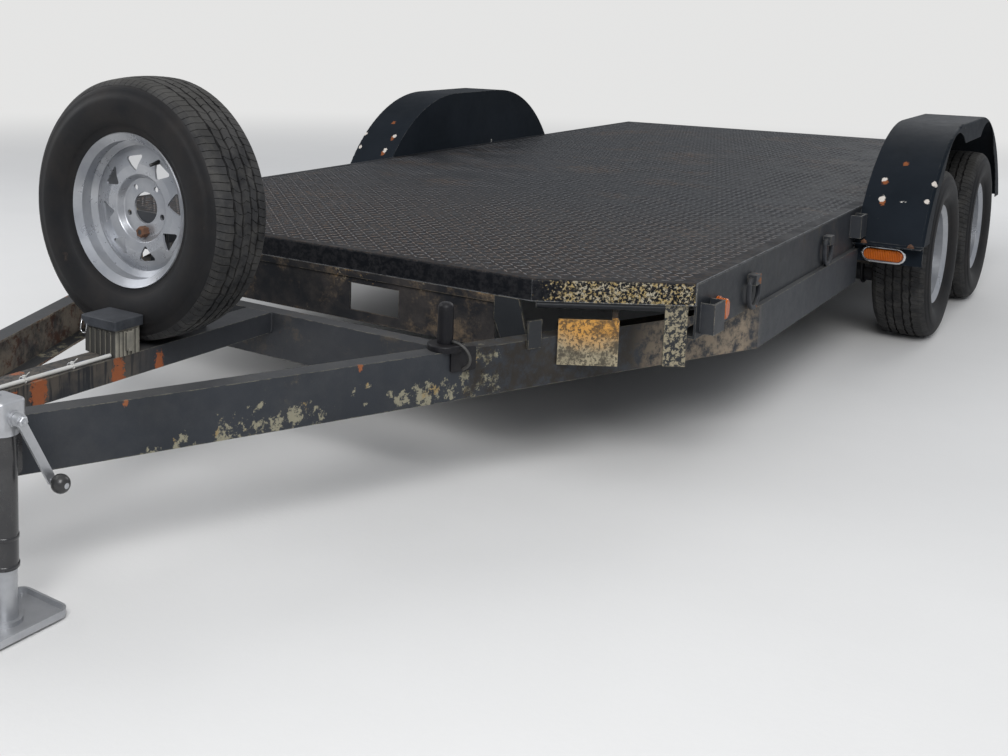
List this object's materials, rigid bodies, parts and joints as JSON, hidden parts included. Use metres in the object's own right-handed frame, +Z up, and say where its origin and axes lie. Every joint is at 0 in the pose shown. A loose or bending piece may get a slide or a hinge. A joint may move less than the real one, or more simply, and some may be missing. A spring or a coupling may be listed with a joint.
{
  "type": "car trailer",
  "caption": "Tandem-axle car trailer with a low steel deck, rolled fenders, an A-frame tongue, a side-wind jack and a spare wheel.",
  "frame": {"origin": "on the floor under the centre of the trailer's bounding box", "axes": "+Z up, -Y the way the trailer is drawn, +X its left side"},
  "size_m": [2.5542, 6.65, 1.0613],
  "materials": {
    "box_plastic": "weathered grey plastic",
    "deck_steel": "worn black paint on tread plate",
    "drum_iron": "dull grey iron",
    "fender_paint": "weathered satin black paint",
    "frame_paint": "weathered satin black paint",
    "jack_black": "gloss black paint",
    "lamp_amber": "amber lens",
    "lamp_red": "red lens",
    "stop_black": "black housing",
    "tyre_rubber": "dusty black rubber",
    "wheel_steel": "silver paint",
    "wire_sheath": "pale wire sheath",
    "zinc": "dull zinc plate"
  },
  "bodies": {
    "chassis": {"axle_front": "frame_paint", "axle_rear": "frame_paint", "battery_box": "box_plastic", "corner_bar_left": "frame_paint", "corner_bar_right": "frame_paint", "corner_frame_left": "frame_paint", "corner_frame_right": "frame_paint", "coupler": "frame_paint", "coupler_latch": "frame_paint", "cross_members": "frame_paint", "deck_plate": "deck_steel", "fender_bracket_left": "fender_paint", "fender_bracket_right": "fender_paint", "fender_lamp_left": "lamp_amber", "fender_lamp_right": "lamp_amber", "fender_left": "fender_paint", "fender_right": "fender_paint", "front_header": "frame_paint", "jack_bracket": "jack_black", "jack_crank": "zinc", "jack_head": "zinc", "jack_tube": "jack_black", "leaf_springs_left": "frame_paint", "leaf_springs_right": "frame_paint", "main_rail_left": "frame_paint", "main_rail_right": "frame_paint", "rear_header": "frame_paint", "side_lamp_left": "lamp_amber", "side_lamp_right": "lamp_amber", "spare_mount": "frame_paint", "spare_tyre": "tyre_rubber", "spare_wheel": "wheel_steel", "spring_hangers_left": "frame_paint", "spring_hangers_right": "frame_paint", "stake_pockets_left": "frame_paint", "stake_pockets_right": "frame_paint", "stop_housing": "stop_black", "tail_lamp_left": "lamp_red", "tail_lamp_right": "lamp_red", "tie_rings_left": "frame_paint", "tie_rings_right": "frame_paint", "tongue_beam": "frame_paint", "tongue_cross": "frame_paint", "tongue_rail_left": "frame_paint", "tongue_rail_right": "frame_paint", "wiring_lead": "wire_sheath"},
    "road_wheel_front_left": {"tyre_front_left": "tyre_rubber", "wheel_front_left": "wheel_steel", "hub_front_left": "drum_iron"},
    "road_wheel_front_right": {"tyre_front_right": "tyre_rubber", "wheel_front_right": "wheel_steel", "hub_front_right": "drum_iron"},
    "road_wheel_rear_left": {"tyre_rear_left": "tyre_rubber", "wheel_rear_left": "wheel_steel", "hub_rear_left": "drum_iron"},
    "road_wheel_rear_right": {"tyre_rear_right": "tyre_rubber", "wheel_rear_right": "wheel_steel", "hub_rear_right": "drum_iron"},
    "jack_inner_leg": {"jack_leg": "zinc"},
    "battery_lid": {"box_lid": "box_plastic"}
  },
  "joints": [
    {"name": "wheel_spin_front_left", "type": "hinge", "parent": "chassis", "child": "road_wheel_front_left", "pos_m": [1.176, 0.843, 0.326], "axis": [1, 0, 0], "continuous": true},
    {"name": "wheel_spin_front_right", "type": "hinge", "parent": "chassis", "child": "road_wheel_front_right", "pos_m": [-1.176, 0.843, 0.326], "axis": [1, 0, 0], "continuous": true},
    {"name": "wheel_spin_rear_left", "type": "hinge", "parent": "chassis", "child": "road_wheel_rear_left", "pos_m": [1.176, 1.707, 0.326], "axis": [1, 0, 0], "continuous": true},
    {"name": "wheel_spin_rear_right", "type": "hinge", "parent": "chassis", "child": "road_wheel_rear_right", "pos_m": [-1.176, 1.707, 0.326], "axis": [1, 0, 0], "continuous": true},
    {"name": "jack_leg_slide", "type": "slide", "parent": "chassis", "child": "jack_inner_leg", "axis": [0, 0, 1], "range_m": [-0.1, 0.09]},
    {"name": "battery_lid_hinge", "type": "hinge", "parent": "chassis", "child": "battery_lid", "pos_m": [-0.073, -2.3565, 0.471], "axis": [0, 1, 0], "range_deg": [-105, 0]}
  ]
}
